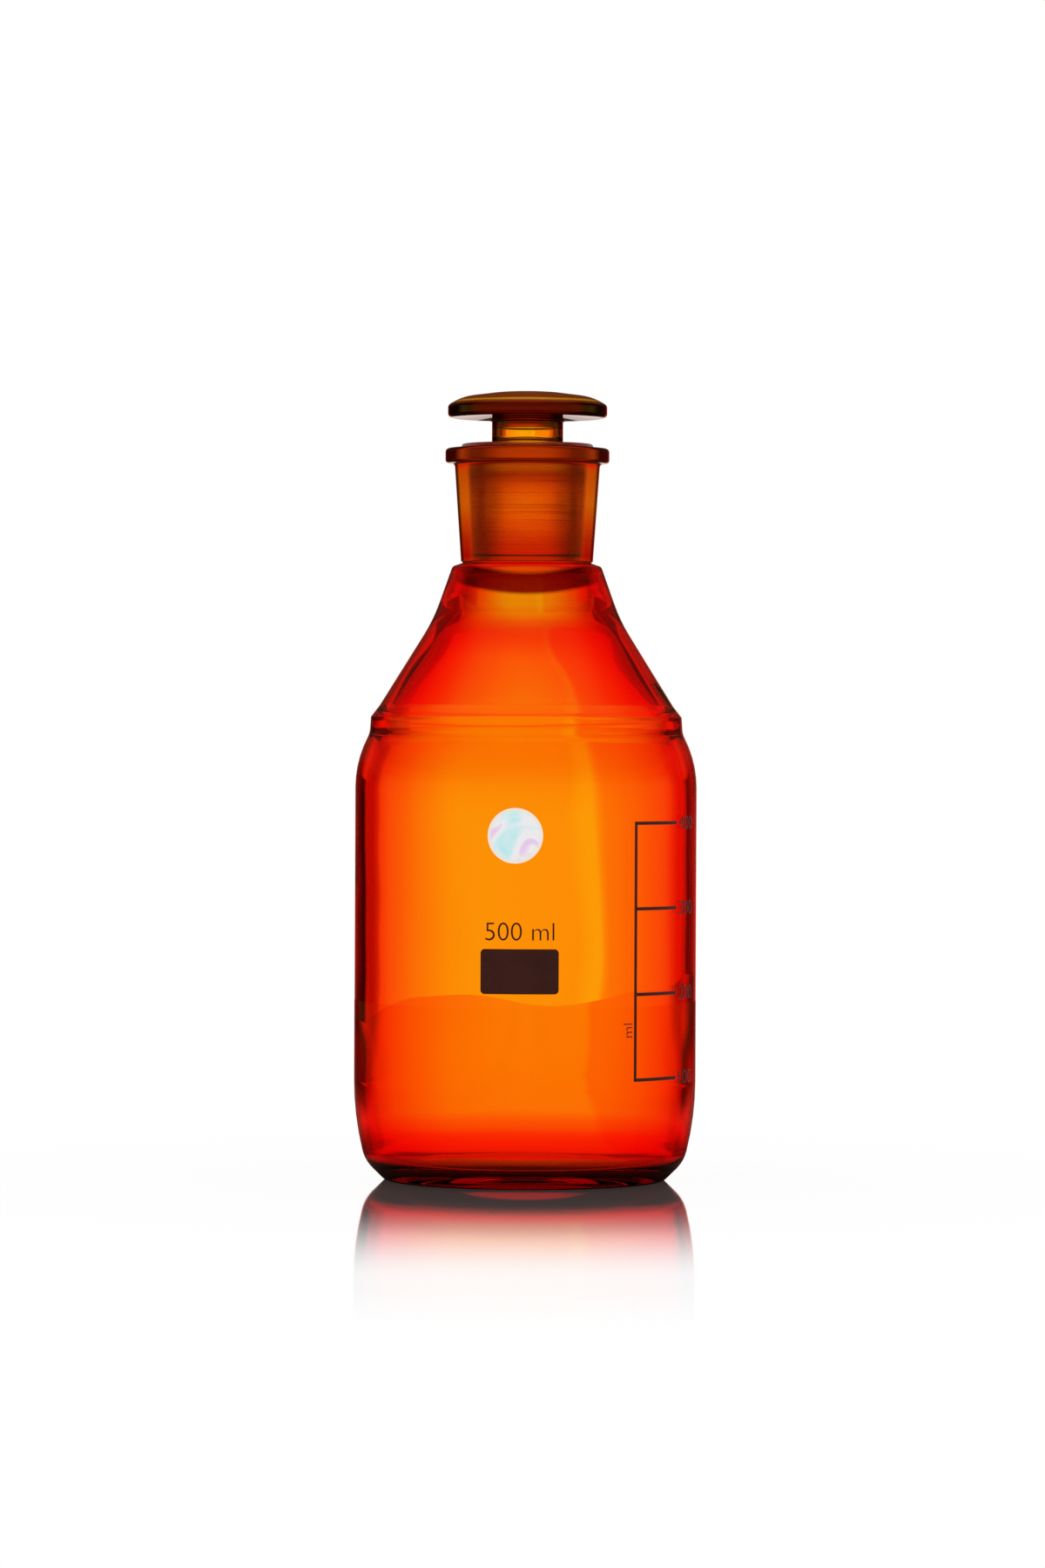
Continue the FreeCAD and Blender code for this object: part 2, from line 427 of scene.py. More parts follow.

# Painted shade on the stain: the share of it left, from where the glass faces the viewer, 0, to its edges, 1
GRAZING_TONES = [
    (0.0, (1, 1, 1)),
    (0.10, (1, 0.95, 0.9)),
    (0.19, (1, 0.55, 0.5)),
    (0.30, (1, 0.27, 0.25)),
    (0.44, (1, 0.07, 0.06)),
    (0.56, (1, 0.004, 0.004)),
    (1.0, (1, 0.001, 0.001)),
]
EDGE_TONES = [
    (0.52, (1, 1, 1)),
    (0.73, (0.85, 1, 1)),
    (0.80, (0.25, 1, 1)),
    (1.0, (0.15, 1, 1)),
]
NECK_TONES = [
    (0.05, (1, 1, 1)),
    (0.10, (0.78, 0.8, 0.8)),
    (0.22, (0.36, 0.1, 0.1)),
    (0.28, (0.36, 0.12, 0.12)),
    (0.36, (0.65, 0.22, 0.22)),
    (0.44, (1, 0.26, 0.26)),
    (0.68, (1, 0.34, 0.34)),
    (0.76, (0.12, 0.06, 0.06)),
    (1.0, (0.05, 0.02, 0.02)),
]
FLANGE_TONES = [
    (0.0, (1, 1, 1)),
    (0.04, (0.95, 0.9, 0.9)),
    (0.10, (0.6, 0.45, 0.45)),
    (0.17, (0.28, 0.18, 0.18)),
    (0.27, (0.26, 0.16, 0.16)),
    (0.34, (0.5, 0.35, 0.35)),
    (0.40, (0.7, 0.5, 0.5)),
    (0.46, (0.3, 0.2, 0.2)),
    (0.53, (0.06, 0.03, 0.03)),
    (1.0, (0.04, 0.01, 0.01)),
]
STEM_TONES = [
    (0.0, (1, 1, 1)),
    (0.20, (1, 1, 1)),
    (0.26, (0.7, 0.55, 0.55)),
    (0.32, (0.12, 0.03, 0.03)),
    (0.45, (0.02, 0.003, 0.003)),
    (1.0, (0.005, 0.001, 0.001)),
]
THROAT_TONES = [
    (0.0, (0.15, 0.004, 0.004)),
    (0.22, (0.1, 0.003, 0.003)),
    (0.36, (0.03, 0.001, 0.001)),
    (0.48, (0.06, 0.004, 0.004)),
    (0.58, (0.5, 0.3, 0.3)),
    (0.68, (1, 1, 1)),
]

# Painted shade: a dark ring below the neck on the front of the shoulder only, which rises to both sides
RING_FOOT = (neck_base - 9.0, neck_base - 7.8)
RING_TOP = (neck_base - 3.7, neck_base - 2.7)
RING_FRONT = (-16.0, -2.0)
RING_RISE = 0.01

# Clear front of the body, which ends above the ridge, and cloudy edges of the neck
FRONT_FACING = (0.3, 0.5)
FRONT_END = (body_height + 15.0, body_height + 19.0)
CLOUD_FACING = (0.36, 0.48)
CLOUD = 0.6

# The glass in its mirror image on the table: stain taken from higher up, and painted shade that darkens the
# foot and dims the rest
MIRROR_LIFT = 5.0
MIRROR_FOOT = (9.0, 13.0)
MIRROR_FOOT_TONE = (0.4, 0.25, 0.22, 1)
MIRROR_TONE = (0.95, 0.95, 0.95, 1)

# Ground faces: scales of their level lines in each direction, tones, and roughness, coarser at the mouth
FINE_LINES = (30, 30, 2800)
BROAD_LINES = (20, 20, 520)
FINE_SHARE = 0.6
GROUND_TONES = [
    (0.36, (0.74, 0.41, 0.12)),
    (0.45, (0.92, 0.64, 0.2)),
    (0.56, (1, 0.78, 0.25)),
]
GROUND_RANGE = (0.35, 0.65)
GROUND_ROUGHNESS = (0.2, 0.28)
MOUTH_SPAN = (rim - 11.8, rim - 3.8)
MOUTH_ROUGHNESS = 0.2
GROUND_BUMP = 0.04
GROUND_BUMP_STRENGTH = 0.35

# Optics of the glass, and the colour that its depth gives to light
GLASS_INDEX = 1.47
GLASS_GLINT = (0.3, 0.3, 0.3, 1)
BOTTLE_DEPTH = (0.9933, 0.8333, 0.1667, 1)
STOPPER_DEPTH = (0.985, 0.8, 0.1333, 1)
DEPTH_DENSITY = 300.0


def stain_and_shading_by_level(n, level, mirrored, stain_and_shading):
    """Colour and clearness of the stain, with its painted light and shade."""
    height = n.math("MULTIPLY_ADD", mirrored, MIRROR_LIFT * MM, level)
    colours = [(z, (red, green, BLUE_SHARE * green)) for z, red, green, clear in stain_and_shading]
    shares = [(z, (clear, clear, clear)) for z, red, green, clear in stain_and_shading]
    return n.tones(height, colours, MM), n.tones(height, shares, MM)


def shade_edges(n, amber, facing, zone, rim_tones):
    """The stain with painted shade, redder and darker towards the edges of each zone."""
    redder = n.add("Gamma", Color=n.ramp(facing, GRAZING_TONES), Gamma=zone["grazing"]).outputs[0]
    shaded_coat = n.multiply(1.0, amber, redder)
    shaded_coat = n.multiply(n.math("MINIMUM", zone["grazing"], 1.0), shaded_coat, n.ramp(facing, EDGE_TONES))
    shaded_coat = n.multiply(zone["rimmed"], shaded_coat, n.ramp(facing, rim_tones))
    return n.multiply(zone["banded"], shaded_coat, n.ramp(facing, NECK_TONES))


def throat_ring(n, at):
    """1 on the painted dark ring of shade below the neck, and 0 elsewhere."""
    rise = n.math("MULTIPLY", n.math("MULTIPLY", at["X"], at["X"]), -RING_RISE / MM)
    arch = n.math("ADD", rise, at["Z"])
    ring = n.math("MULTIPLY", n.along(arch, RING_FOOT), n.along(arch, RING_TOP, 1.0, 0.0))
    return n.math("MULTIPLY", ring, n.along(at["Y"], RING_FRONT, 1.0, 0.0))


def level_lines(n, place, scale, detail):
    """Noise drawn out into level lines."""
    stretched = n.add("Mapping", Vector=place, Scale=scale).outputs[0]
    return n.add("TexNoise", Vector=stretched, Scale=1.0, Detail=detail).outputs["Fac"]


def glass_material(name, stain_and_shading, rim_tones, depth_colour):
    """Amber glass, stained on its outside with painted light and shade, with an even colour in its depth,
    rough where ground.
    """
    material = bpy.data.materials.new(name)
    n = Nodes(material)
    place = n.add("TexCoord").outputs["Object"]
    at = n.add("SeparateXYZ", Vector=place).outputs
    level = at["Z"]
    facing = n.add("LayerWeight", Blend=0.5).outputs["Facing"]
    zone = {key: n.add("Attribute", {"attribute_name": key}).outputs["Fac"] for key in ZONES}
    rays = n.add("LightPath").outputs
    blurred = n.math("SUBTRACT", 1.0, rays["Is Singular Ray"])
    mirrored = n.math("MULTIPLY", rays["Is Reflection Ray"], blurred)

    # Stain with painted light and shade by level; then painted shade towards the edges, on the ring below
    # the neck and at the foot of the mirror image
    amber, clearness = stain_and_shading_by_level(n, level, mirrored, stain_and_shading)
    shaded_coat = shade_edges(n, amber, facing, zone, rim_tones)
    shaded_coat = n.multiply(throat_ring(n, at), shaded_coat, n.ramp(facing, THROAT_TONES))
    shade = n.mix_colour(n.along(level, MIRROR_FOOT), MIRROR_FOOT_TONE, MIRROR_TONE)
    shaded_coat = n.multiply(mirrored, shaded_coat, shade)

    fine = level_lines(n, place, FINE_LINES, 3.0)
    broad = level_lines(n, place, BROAD_LINES, 2.0)
    lines = n.math("MULTIPLY_ADD", fine, FINE_SHARE, n.math("MULTIPLY", broad, 1 - FINE_SHARE))
    inside = n.mix_colour(zone["ground"], (1, 1, 1, 1), n.ramp(lines, GROUND_TONES))
    tint = n.mix_colour(zone["outside"], inside, shaded_coat)
    grain = n.steps(lines, *GROUND_RANGE, *GROUND_ROUGHNESS)
    grain = n.math("ADD", grain, n.along(level, MOUTH_SPAN, 0.0, MOUTH_ROUGHNESS))
    roughness = n.math("MULTIPLY", zone["ground"], grain)
    strength = n.math("MULTIPLY", zone["ground"], GROUND_BUMP_STRENGTH)
    bump = n.add("Bump", Strength=strength, Distance=GROUND_BUMP * MM, Height=lines)

    front = n.math("MULTIPLY", n.steps(facing, *FRONT_FACING, 1.0, 0.0), n.along(level, FRONT_END, 1.0, 0.0))
    cloud = n.math("MULTIPLY", zone["banded"], n.steps(facing, *CLOUD_FACING, 0.0, CLOUD))
    clear = n.math("SUBTRACT", n.mix_value(front, clearness, 1.0), cloud)
    shader = n.add("BsdfPrincipled", Base_Color=tint, Roughness=roughness, IOR=GLASS_INDEX,
                   Specular_Tint=GLASS_GLINT, Normal=bump.outputs[0],
                   Transmission_Weight=n.mix_value(zone["outside"], 1.0, clear))
    volume = n.add("VolumeAbsorption", Color=depth_colour, Density=DEPTH_DENSITY)
    n.add("OutputMaterial", Surface=shader.outputs[0], Volume=volume.outputs[0])
    return material


# Legs of the bottle's section, from the middle of the base outwards, up, and back down inside
CONE_LEG = 9
COLLAR_LEG = 11
NECK_LEG = 13
FLANGE_LEG = 14
SOCKET_LEG = 17


def blown_ripple(angle, level, leg):
    """Slight unevenness of the blown inside; the moulded outside and the socket are true."""
    if leg < SOCKET_LEG:
        return 0
    around = math.sin(3 * angle + 0.6) + 0.7 * math.sin(7 * angle + 0.05 * level)
    upward = math.sin(0.11 * level + 2 * math.sin(angle)) + 0.5 * math.sin(0.31 * level + 3 * angle)
    shoulder = min(max((level - body_height) / ripple_gain_height, 0), 1)
    calm = min(max((ripple_end - level) / ripple_fade, 0), 1)
    gain = 1 + ripple_gain * shoulder
    return calm * (ripple_around * around + ripple_upward * upward * gain - ripple_inset)


def build_bottle():
    """Bottle glass: outside, flange, socket and blown inside in one closed section."""
    inner_radius = body_radius - wall_thickness
    root_bore = socket_end - socket_step
    root_mouth = root_bore + root_mouth_width
    inner_ridge = inner_radius - inner_ridge_inset
    inner_cone_foot = inner_ridge - inner_ridge_draft
    crown_level = floor_edge_height + floor_rise
    corners = [
        (0, push_up, 0),
        (push_up_crown, push_up, push_up_bend),
        (foot_radius - foot_width, 0, foot_rounding),
        (foot_radius, 0, foot_rounding),
        (heel_radius, heel_foot_height, heel_foot_rounding),
        (body_radius, heel_height, heel_bend),
        (body_radius, body_height, shoulder_bend),
        (ridge_radius + ridge_draft, ridge_foot, ridge_foot_rounding),
        (ridge_radius, ridge_top, ridge_rounding),
        (cone_foot_radius, cone_foot, ledge_rounding),
        (cone_top_radius, cone_top, root_bend),
        (neck_root + collar_width, neck_base - collar_drop, collar_rounding),
        (neck_root - groove_depth, neck_base - groove_height, groove_rounding),
        (neck_root, neck_base, neck_edge_rounding),
        (socket_radius(flange_bottom) + neck_top_wall, flange_bottom, flange_root_rounding),
        (flange_radius, flange_bottom, flange_rounding),
        (flange_radius, rim, flange_rounding),
        (socket_mouth_radius, rim, mouth_rounding),
        (socket_end, neck_base, socket_end_rounding),
        (root_bore, neck_base - socket_step_height, socket_step_rounding),
        (root_bore, neck_base - throat_drop, throat_rounding),
        (root_bore + throat_width, neck_base - throat_depth, throat_rounding),
        (root_mouth, shoulder_inside(root_mouth), root_mouth_bend),
        (inner_cone_foot, shoulder_inside(inner_cone_foot), inner_ridge_rounding),
        (inner_ridge, ridge_foot + inner_ridge_rise, inner_ridge_rounding),
        (inner_radius, body_height - inner_shoulder_drop, inner_shoulder_bend),
        (inner_radius, inner_heel_height, inner_heel_bend),
        (inner_radius - inner_heel_inset, floor_edge_height, inner_heel_rounding),
        (floor_crown, crown_level, floor_bend),
        (0, crown_level, 0),
    ]
    grazing = {leg: 1.0 for leg in range(CONE_LEG)}
    grazing.update({CONE_LEG: CONE_GRAZING, CONE_LEG + 1: CONE_GRAZING, COLLAR_LEG: COLLAR_GRAZING})
    zones = {
        "outside": {leg: 1.0 for leg in range(SOCKET_LEG)},
        "ground": {SOCKET_LEG: 1.0},
        "grazing": grazing,
        "rimmed": {leg: 1.0 for leg in range(FLANGE_LEG, SOCKET_LEG)},
        "banded": {NECK_LEG: 1.0},
    }
    piece = revolve("bottle_glass", rounded_path(corners), zones, blown_ripple)
    piece.data.materials.append(glass_material("amber_glass", BOTTLE_STAIN_AND_SHADING, FLANGE_TONES, BOTTLE_DEPTH))
    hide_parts("bottle")
    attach(piece, "bottle")


# Legs of the stopper's section, from the roof of its hollow down inside and back up outside
PLUG_LEG = 5
STEM_LEG = 7
DOME_LEG = 13


def build_stopper():
    """Stopper glass: hollow plug, stem with its bead, and head in one closed section."""
    end_radius = socket_radius(plug_end) - joint_clearance
    top_radius = socket_radius(plug_top) - joint_clearance
    stem_bore = stem_radius - stem_wall
    corners = [
        (0, stem_roof, 0),
        (stem_bore, stem_roof, stem_roof_rounding),
        (stem_bore, plug_top + stem_flare_rise, hollow_bend),
        (top_radius - plug_crown_wall, plug_top - plug_crown_depth, hollow_bend),
        (end_radius - plug_lip_wall, plug_end, plug_lip_rounding),
        (end_radius, plug_end, plug_lip_rounding),
        (top_radius, plug_top, plug_rounding),
        (stem_radius, plug_top, stem_root_rounding),
        (stem_radius, bead_top - bead_height, bead_root_rounding),
        (stem_radius + bead_width, bead_top - bead_height / 2, bead_rounding),
        (stem_radius, bead_top, bead_root_rounding),
        (stem_radius, head_bottom + head_undercut, head_root_rounding),
        (head_radius, head_bottom, head_rounding),
        (head_radius, rim_top, head_rounding),
        (head_radius - head_shoulder_width, rim_top + head_shoulder_rise, head_shoulder_bend),
        (head_crown, head_top, head_bend),
        (0, head_top, 0),
    ]
    zones = {
        "outside": {leg: 1.0 for leg in range(PLUG_LEG + 1, len(corners))},
        "ground": {PLUG_LEG: 1.0},
        "rimmed": {leg: 1.0 for leg in range(STEM_LEG, DOME_LEG)},
    }
    piece = revolve("stopper_glass", rounded_path(corners), zones)
    piece.data.materials.append(glass_material("stopper_glass", STOPPER_STAIN_AND_SHADING, STEM_TONES, STOPPER_DEPTH))
    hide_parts("stopper")
    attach(piece, "stopper")


def enamel_material():
    """Fired brown enamel: a little uneven in colour and gloss."""
    material = bpy.data.materials.new("brown_enamel")
    n = Nodes(material)
    place = n.add("TexCoord").outputs["Object"]
    fine = n.add("TexNoise", Vector=place, Scale=2200.0, Detail=4.0).outputs["Fac"]
    broad = n.add("TexNoise", Vector=place, Scale=160.0, Detail=2.0).outputs["Fac"]
    blend = n.math("MULTIPLY_ADD", fine, 0.5, n.math("MULTIPLY", broad, 0.5))
    colour = n.ramp(blend, [(0.3, (0.030, 0.0055, 0.003)), (0.7, (0.050, 0.0095, 0.0055))])
    bump = n.add("Bump", Strength=0.25, Distance=0.02 * MM, Height=fine)
    shader = n.add("BsdfPrincipled", Base_Color=colour, Roughness=n.steps(fine, 0.2, 0.8, 0.42, 0.6),
                   Specular_IOR_Level=0.1, Normal=bump.outputs[0])
    n.add("OutputMaterial", Surface=shader.outputs[0])
    return material


FOIL_TONES = [
    (0.25, (0.45, 0.88, 0.92)),
    (0.40, (0.70, 0.92, 0.94)),
    (0.49, (0.92, 0.92, 0.95)),
    (0.56, (0.95, 0.93, 0.92)),
    (0.64, (0.90, 0.66, 0.92)),
    (0.78, (0.78, 0.60, 0.92)),
]
FOIL_EDGE = (0.96, 0.86, 0.72, 1)


def foil_material():
    """Silvery foil with soft drifts of colour, a fine embossed grain and a warm edge."""
    material = bpy.data.materials.new("label_foil")
    n = Nodes(material)
    place = n.add("TexCoord").outputs["Object"]
    drift = n.add("TexNoise", Vector=place, Scale=110.0, Detail=2.0, Distortion=1.2).outputs["Fac"]
    low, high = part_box("round_label")
    middle = (low + high) / 2
    radius = (high.z - low.z) / 2
    at = n.add("SeparateXYZ", Vector=place).outputs
    right = n.math("SUBTRACT", at["X"], middle.x)
    up = n.math("SUBTRACT", at["Z"], middle.z)
    reach = n.math("SQRT", n.math("MULTIPLY_ADD", right, right, n.math("MULTIPLY", up, up)))
    edge = n.steps(reach, 0.8 * radius, 0.98 * radius)
    colour = n.mix_colour(edge, n.ramp(drift, FOIL_TONES), FOIL_EDGE)
    grain = n.add("TexVoronoi", {"feature": "F1"}, Vector=place, Scale=2600.0).outputs["Distance"]
    bump = n.add("Bump", Strength=0.2, Distance=0.02 * MM, Height=grain)
    shader = n.add("BsdfPrincipled", Base_Color=colour, Metallic=0.2, Roughness=0.38, Normal=bump.outputs[0])
    n.add("OutputMaterial", Surface=shader.outputs[0])
    return material


def dress_node(name, material):
    """Gives a node of the construction its material."""
    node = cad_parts[name]
    node.data.materials.clear()
    node.data.materials.append(material)


# Letters at size 1, before they are bent round the wall
LETTER_THINNING = 0.012
LETTER_DEPTH = 0.01


def letter_mesh(name, words):
    """Flat mesh of words."""
    curve = bpy.data.curves.new(name, "FONT")
    curve.body = words
    curve.offset = -LETTER_THINNING
    curve.extrude = LETTER_DEPTH
    letters = add_object(name, curve)
    mesh = bpy.data.meshes.new_from_object(letters)
    bpy.data.objects.remove(letters)
    return mesh


def print_text(name, words, material, height, angle, level, width=None, align=0.5, upright=False):
    """Raised printed characters bent round the wall; align is the share of them before the angle."""
    mesh = letter_mesh(name, words)
    xs = [v.co.x for v in mesh.vertices]
    ys = [v.co.y for v in mesh.vertices]
    foot = min(ys)
    scale_y = height / (max(ys) - foot)
    scale_x = width / (max(xs) - min(xs)) if width else scale_y
    start = min(xs) + align * (max(xs) - min(xs))
    for v in mesh.vertices:
        along = (v.co.x - start) * scale_x
        up = (v.co.y - foot) * scale_y - height / 2
        if upright:
            along, up = -up, along
        radius = body_radius + print_lift + (print_depth if v.co.z > 0 else 0)
        turn = angle * DEGREE + along / body_radius
        v.co = Vector((radius * math.sin(turn), -radius * math.cos(turn), level + up)) * MM
    mesh.materials.append(material)
    piece = add_object(name, mesh)
    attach(piece, "bottle")


def build_marks():
    """Dresses patch, scale and label, and prints the figures."""
    enamel = enamel_material()
    dress_node("writing_patch", enamel)
    dress_node("graduation_scale", enamel)
    dress_node("round_label", foil_material())
    print_text("capacity_figure", "500 ml", enamel, capacity_height, capacity_angle, capacity_level,
               capacity_width)
    low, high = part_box("graduation_scale")
    first = low.z / MM + scale_line_width / 2
    last = high.z / MM - scale_line_width / 2
    for k in range(scale_marks):
        level = first + (last - first) * k / (scale_marks - 1)
        print_text(f"scale_figure_{k + 1}00", f"{k + 1}00", enamel, scale_figure_height, scale_figure_angle,
                   level, scale_figure_width, align=0)
    print_text("scale_unit", "ml", enamel, scale_unit_height, scale_unit_angle, first + scale_unit_rise,
               upright=True)


# Table top: distances from the bottle's axis over which its look changes
FLOOR_RADIUS = 950.0
# Painted warm light on the table close to the foot, the tint of light come through the amber glass
FOOT_LIGHT = (0.8, 0.36, 0.28, 1)
FOOT_LIGHT_SPAN = (50.0, 130.0)
TABLE_COLOUR = (0.84, 0.84, 0.84, 1)
WHITE_SPAN = (20.0, 200.0)
WHITE_SHARE = (0.35, 1.0)
SHINE_SPAN = (85.0, 265.0)
SHINE_SHARE = (0.945, 0.07)
SHINE_END = (260.0, 370.0)
SHINE_ROUGHNESS = 0.04
# Painted shadow in the table's glow at the bottle's foot and close beside it, and the glow's dimming in
# sharp reflections
FOOT_SHADE_SPAN = (34.0, 50.0)
FOOT_SHADE = 0.1
SIDE_SHADE_SPAN = (70.0, 140.0)
SIDE_SHADE_FROM = (40.0, 55.0)
SIDE_SHADE = 0.75
MIRROR_DIMMING = 0.88
BOUNCE_TONE = (0.75, 0.75, 0.75, 1)

# How far in front of the bottle the point is from which the stripes of the table's glow fan out
GLOW_POINT = 1450.0

# Painted glow of the table top as the glass sees it, by distance to the right of the bottle's axis
FLOOR_GLOW = [
    (-365, (0.8, 0.3, 0.05)),
    (-255, (0.15, 0.05, 0.04)),
    (-208, (0.15, 0.05, 0.04)),
    (-150, (0.3, 0.1, 0.07)),
    (-115, (0.7, 0.22, 0.14)),
    (-94, (1, 0.36, 0.24)),
    (-40, (1, 0.43, 0.3)),
    (-10, (1, 0.55, 0.43)),
    (22.7, (1, 0.56, 0.45)),
    (25.3, (1, 0.38, 0.26)),
    (53, (1, 0.42, 0.28)),
    (115, (1, 0.4, 0.27)),
    (143, (0.7, 0.22, 0.14)),
    (179, (0.3, 0.1, 0.07)),
    (208, (0.15, 0.05, 0.04)),
    (255, (0.15, 0.05, 0.04)),
    (365, (0.8, 0.3, 0.05)),
]


def table_surface(n, distance):
    """The table as the camera sees it: white, with painted warm light by the foot and a mirror image that
    fades away from the bottle.
    """
    colour = n.mix_colour(n.along(distance, FOOT_LIGHT_SPAN), FOOT_LIGHT, TABLE_COLOUR)
    lit = n.add("BsdfDiffuse", Color=colour).outputs[0]
    white = n.add("Emission", Color=(1, 1, 1, 1), Strength=1.0).outputs[0]
    pale = n.add("MixShader", _0=n.along(distance, WHITE_SPAN, *WHITE_SHARE), _1=lit, _2=white).outputs[0]
    shine = n.add("BsdfGlossy", Color=(1, 1, 1, 1), Roughness=SHINE_ROUGHNESS).outputs[0]
    fade = n.along(distance, SHINE_SPAN, *SHINE_SHARE)
    fade = n.math("MULTIPLY", fade, n.along(distance, SHINE_END, 1.0, 0.0))
    return n.add("MixShader", _0=fade, _1=pale, _2=shine).outputs[0]


def table_glow(n, at, distance, rays):
    """The table as light to the object: a painted glow, with painted shadow at the foot and close by on both
    sides.
    """
    behind = n.math("MULTIPLY_ADD", at["Y"], 1 / (GLOW_POINT * MM), 1.0)
    warm = n.tones(n.math("DIVIDE", at["X"], behind), FLOOR_GLOW, MM)
    through = n.math("MAXIMUM", rays["Is Singular Ray"], rays["Is Transmission Ray"])
    tone = n.mix_colour(through, BOUNCE_TONE, warm)
    mirrored = n.math("MULTIPLY", rays["Is Reflection Ray"], rays["Is Singular Ray"])
    dimmed = n.math("MULTIPLY_ADD", mirrored, -MIRROR_DIMMING, 1.0)
    strength = n.math("MULTIPLY", n.along(distance, FOOT_SHADE_SPAN, FOOT_SHADE, 1.0), dimmed)
    beside = n.along(n.math("ABSOLUTE", at["X"]), SIDE_SHADE_FROM)
    beside = n.math("MULTIPLY", beside, n.along(distance, SIDE_SHADE_SPAN, SIDE_SHADE, 0.0))
    strength = n.math("MULTIPLY", strength, n.math("SUBTRACT", 1.0, beside))
    return n.add("Emission", Color=tone, Strength=strength).outputs[0]


def build_floor():
    """Pale glossy table top."""
    bpy.ops.mesh.primitive_circle_add(vertices=128, radius=FLOOR_RADIUS * MM, fill_type="NGON")
    floor = bpy.context.object
    floor.name = "floor"
    material = bpy.data.materials.new("floor")
    n = Nodes(material)
    place = n.add("TexCoord").outputs["Object"]
    at = n.add("SeparateXYZ", Vector=place).outputs
    distance = n.add("VectorMath", {"operation": "LENGTH"}, _0=place).outputs["Value"]
    rays = n.add("LightPath").outputs
    glow = table_glow(n, at, distance, rays)
    table = table_surface(n, distance)
    surface = n.add("MixShader", _0=rays["Is Camera Ray"], _1=glow, _2=table).outputs[0]
    n.add("OutputMaterial", Surface=surface)
    floor.data.materials.append(material)


# Lit panel behind the bottle, by degrees to the right of straight behind
PANEL = [
    (-32, (0.04, 0.013, 0.009)),
    (-27, (0.05, 0.018, 0.013)),
    (-23, (0.12, 0.045, 0.036)),
    (-19, (0.2, 0.071, 0.062)),
    (-13, (0.55, 0.107, 0.08)),
    (-10.2, (0.75, 0.178, 0.125)),
    (-9.2, (1, 0.552, 0.427)),
    (-5, (1, 0.659, 0.534)),
    (-1.6, (1, 0.863, 0.801)),
    (0, (1, 0.819, 0.756)),
    (1.05, (1, 0.801, 0.712)),
    (1.37, (1, 1, 0.95)),
    (1.8, (1, 1, 0.95)),
    (2.08, (1, 0.534, 0.356)),
    (9.5, (1, 0.498, 0.356)),
    (11, (1, 0.267, 0.178)),
    (18, (1, 0.16, 0.107)),
    (23, (0.3, 0.071, 0.053)),
    (30, (0.16, 0.045, 0.036)),
    (32, (0.16, 0.045, 0.036)),
]

# Degrees to either side where the reflected panel darkens, and where the panel's top steps down
PANEL_DARKENS = (6, 10)
PANEL_REFLECTED = (0.45, 0.2, 0.2, 1)
PANEL_STEPS_DOWN = (10, 14)

# Amber light in front, and the degrees from straight behind where it begins, reflected or through glass
FRONT_LIGHT = (0.8, 0.42, 0.06, 1)
FRONT_REFLECTED = (56, 78)
FRONT_THROUGH = (33, 40)

# Band of light across the panel's upper part and on round the room, by degrees from straight behind
UPPER_PANEL = [
    (0, (1.0, 0.95, 0.85)),
    (5, (0.97, 0.85, 0.7)),
    (10, (0.75, 0.46, 0.3)),
    (20, (0.42, 0.21, 0.1)),
    (27, (0.7, 0.6, 0.3)),
    (32, (1.0, 0.95, 0.45)),
    (42, (1.0, 0.85, 0.4)),
    (52, (0.4, 0.3, 0.15)),
    (66, (0.25, 0.2, 0.1)),
    (90, (0.2, 0.15, 0.1)),
    (130, (0.8, 0.5, 0.2)),
]

# Heights in the studio, as sines of the angle above the horizon
BAND_FOOT = (0.105, 0.13)
BAND_TOP = (0.23, 0.28)
PANEL_TOP = 0.35
PANEL_TOP_ASIDE = 0.1
PANEL_TOP_REFLECTED = 0.06
PANEL_TOP_BLUR = 0.1
DUSK_FROM = (0.28, 0.33)
CEILING_FROM = (0.7, 0.85)

# Colours above the panel
HAZE = (0.8, 0.4, 0.2, 1)
DUSK = (0.06, 0.02, 0.01, 1)
DUSK_REFLECTED = (0.06, 0.035, 0.02, 1)
CEILING = (0.6, 0.42, 0.15, 1)


def studio_ring(n, side, aside, rays):
    """Colour of the studio round the bottle: the panel behind it and the light in front."""
    panel = n.tones(side, PANEL, DEGREE)
    beside = n.turned(aside, PANEL_DARKENS)
    panel = n.multiply(n.math("MULTIPLY", rays["Is Reflection Ray"], beside), panel, PANEL_REFLECTED)
    limits = [n.mix_value(rays["Is Transmission Ray"], reflected * DEGREE, through * DEGREE)
              for reflected, through in zip(FRONT_REFLECTED, FRONT_THROUGH)]
    return n.mix_colour(n.steps(aside, *limits), panel, FRONT_LIGHT)


def studio_above(n, height, rays):
    """Colour of the studio above the panel."""
    beyond = n.mix_colour(n.steps(height, *DUSK_FROM), HAZE, DUSK)
    beyond = n.mix_colour(rays["Is Transmission Ray"], DUSK_REFLECTED, beyond)
    return n.mix_colour(n.steps(height, *CEILING_FROM), beyond, CEILING)


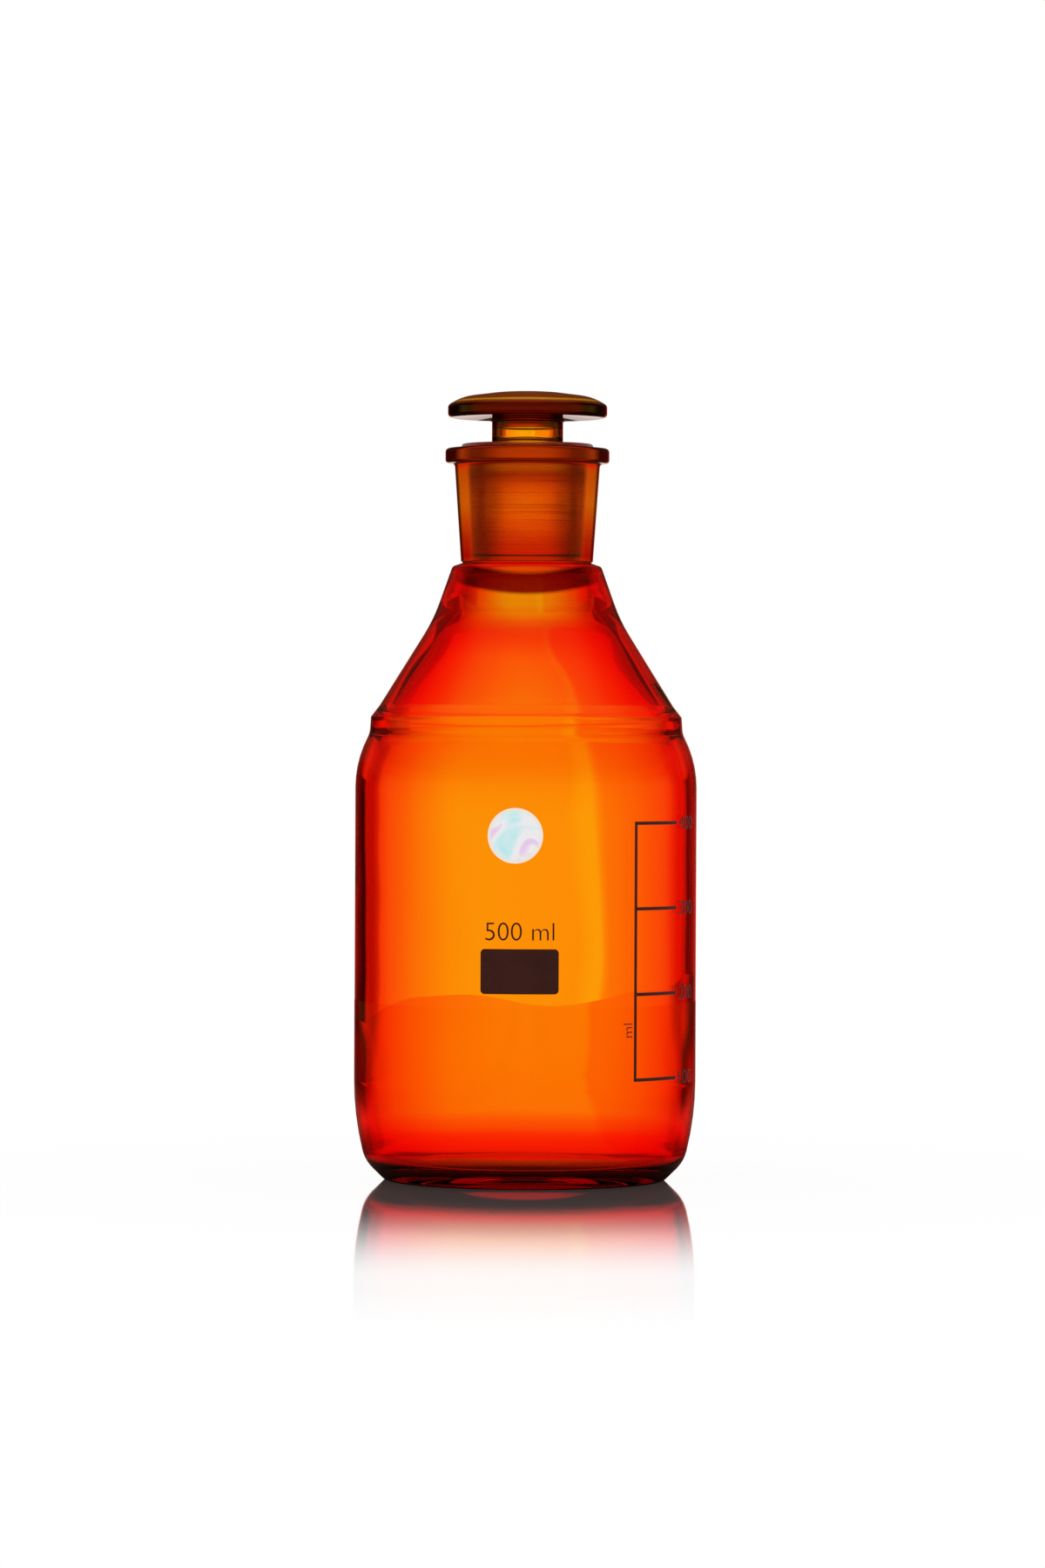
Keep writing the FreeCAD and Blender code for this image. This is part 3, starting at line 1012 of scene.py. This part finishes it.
def build_world():
    """White all round; sharp reflections and the light through the glass show the studio instead."""
    world = bpy.data.worlds.new("studio")
    bpy.context.scene.world = world
    n = Nodes(world)
    at = n.add("SeparateXYZ", Vector=n.add("TexCoord").outputs["Generated"]).outputs
    rays = n.add("LightPath").outputs
    transmitted = rays["Is Transmission Ray"]
    height = at["Z"]
    side = n.math("ARCTAN2", at["X"], at["Y"])
    aside = n.math("ABSOLUTE", side)
    panel_top = n.turned(aside, PANEL_STEPS_DOWN, PANEL_TOP, PANEL_TOP_ASIDE)
    rise = n.math("SUBTRACT", height, n.mix_value(transmitted, PANEL_TOP_REFLECTED, panel_top))
    studio = n.mix_colour(n.steps(rise, 0.0, PANEL_TOP_BLUR), studio_ring(n, side, aside, rays),
                          studio_above(n, height, rays))
    band = n.math("MULTIPLY", n.steps(height, *BAND_FOOT), n.steps(height, *BAND_TOP, 1.0, 0.0))
    studio = n.mix_colour(n.math("MULTIPLY", band, transmitted), studio, n.tones(aside, UPPER_PANEL, DEGREE))
    through = n.math("MAXIMUM", rays["Is Singular Ray"], transmitted)
    light = n.add("Background", Color=n.mix_colour(through, (1, 1, 1, 1), studio), Strength=1.0)
    n.add("OutputWorld", Surface=light.outputs[0])


# Camera, from the photograph: the scale on the axis, the level of the horizon and the lean
PHOTO_HEIGHT = 1800
MM_PER_PIXEL = 0.21429
AXIS_X = 604.0
CENTRE_X = 600.0
HORIZON_Y = 830.0
GROUND_Y = 1354.3
CENTRE_Y = 900.0
CAMERA_DISTANCE = 1450.0
CAMERA_LEAN = 0.25 * DEGREE
SENSOR = 36.0
CLIP_END = 20000.0


def build_camera():
    """Camera at the photograph's place."""
    data = bpy.data.cameras.new("camera")
    data.sensor_width = SENSOR
    data.lens = SENSOR * CAMERA_DISTANCE / (PHOTO_HEIGHT * MM_PER_PIXEL)
    data.clip_end = CLIP_END * MM
    camera = add_object("camera", data)
    height = (GROUND_Y - HORIZON_Y) * MM_PER_PIXEL
    pitch = math.atan((CENTRE_Y - HORIZON_Y) * MM_PER_PIXEL / CAMERA_DISTANCE)
    across = (CENTRE_X - AXIS_X) * MM_PER_PIXEL
    turn = Matrix.Rotation(math.pi / 2 - pitch, 4, "X") @ Matrix.Rotation(CAMERA_LEAN, 4, "Z")
    camera.matrix_world = Matrix.Translation(Vector((across, -CAMERA_DISTANCE, height)) * MM) @ turn
    bpy.context.scene.camera = camera


build_bottle()
build_stopper()
build_marks()
build_floor()
build_world()
build_camera()
bpy.context.scene.view_settings.view_transform = "Standard"
